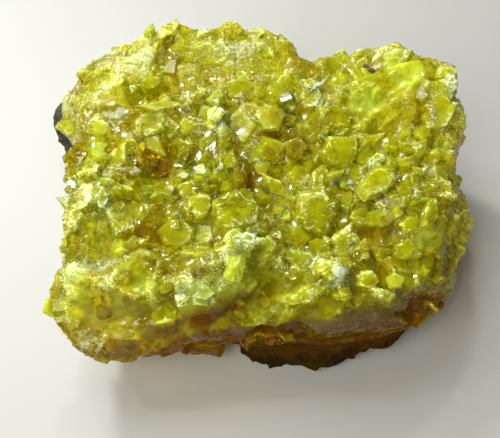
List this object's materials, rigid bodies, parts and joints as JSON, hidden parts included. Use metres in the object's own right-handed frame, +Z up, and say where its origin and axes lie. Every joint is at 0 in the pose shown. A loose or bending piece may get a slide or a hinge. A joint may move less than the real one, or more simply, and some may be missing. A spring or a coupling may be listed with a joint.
{
  "type": "native sulfur specimen",
  "caption": "Hand-sized lump of yellow native sulfur: a rough crystalline mass with blocky crystals in an open hollow, grown on a flat-soled slab of grey-brown host rock.",
  "frame": {"origin": "middle of the footprint, on the plane that the rock's flat sole rests on", "axes": "+X along the length, -Y out of the front with the host rock in view, +Z up out of the crystal-covered crown"},
  "size_m": [0.1112, 0.0828, 0.0442],
  "materials": {
    "sulfur": "resinous, crystalline, translucent at the edges",
    "host_rock": "matt, rough",
    "dark_chip": "matt"
  },
  "bodies": {
    "root": {"sulfur_mass": "sulfur", "host_rock": "host_rock", "dark_chip": "dark_chip"}
  },
  "joints": []
}
